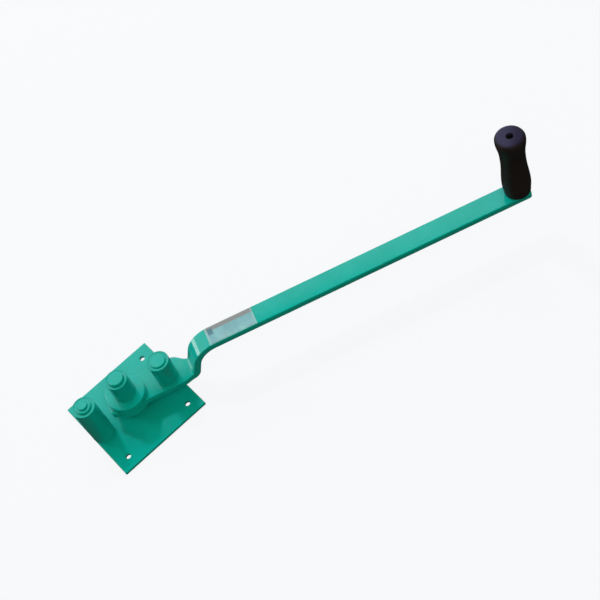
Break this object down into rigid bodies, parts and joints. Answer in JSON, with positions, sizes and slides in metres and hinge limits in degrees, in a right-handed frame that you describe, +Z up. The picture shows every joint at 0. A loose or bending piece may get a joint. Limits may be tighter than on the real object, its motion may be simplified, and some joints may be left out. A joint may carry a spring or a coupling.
{
  "type": "rebar stirrup bender",
  "caption": "Bench-mounted rebar stirrup bender: square base plate with pivot, forming sleeve and stop post, and a joggled flat-bar lever with a bending roller and an upright revolving grip.",
  "frame": {"origin": "centre of the base plate's underside, in the middle of the four fixing holes and on the pivot's axis", "axes": "+Z up along the pivot's axis, X and Y along the plate's sides, with the stop post on -X and the lever towards +X"},
  "size_m": [0.6484, 0.2884, 0.1943],
  "materials": {
    "enamel": "glossy brushed-on enamel over steel",
    "zinc": "zinc-plated steel",
    "bronze": "machined bronze",
    "grip": "moulded black plastic, semi-gloss",
    "label": "bare printed foil, no lettering"
  },
  "bodies": {
    "base": {"base_plate": "enamel", "underside_welds": "enamel", "pivot_boss": "enamel", "boss_weld": "enamel", "pivot_pin": "enamel", "thrust_washer": "zinc", "stop_pin": "enamel", "stop_weld": "enamel"},
    "former": {"former_sleeve": "enamel"},
    "stop_roller": {"stop_roller": "enamel"},
    "lever": {"lever_bar": "enamel", "lever_hub": "enamel", "hub_weld": "enamel", "hub_bush": "bronze", "bend_pin": "enamel", "bend_pin_weld": "enamel", "label_plate": "label", "grip_spindle": "zinc", "spindle_washer": "zinc", "spindle_nut": "zinc", "retainer_washer": "zinc", "retainer_screw": "zinc"},
    "bend_roller": {"bend_roller": "enamel"},
    "grip": {"grip": "grip"}
  },
  "joints": [
    {"name": "lever_swing", "type": "hinge", "parent": "base", "child": "lever", "pos_m": [0, 0, 0.03], "axis": [0, 0, 1], "range_deg": [-120, 145]},
    {"name": "former_spin", "type": "hinge", "parent": "base", "child": "former", "pos_m": [0, 0, 0.06], "axis": [0, 0, 1], "continuous": true},
    {"name": "stop_roller_spin", "type": "hinge", "parent": "base", "child": "stop_roller", "pos_m": [-0.0555, 0, 0.045], "axis": [0, 0, 1], "continuous": true},
    {"name": "bend_roller_spin", "type": "hinge", "parent": "lever", "child": "bend_roller", "pos_m": [0.05656, -0.02003, 0.055], "axis": [0, 0, 1], "continuous": true},
    {"name": "grip_spin", "type": "hinge", "parent": "lever", "child": "grip", "pos_m": [0.55663, -0.19711, 0.13], "axis": [0, 0, 1], "continuous": true}
  ]
}
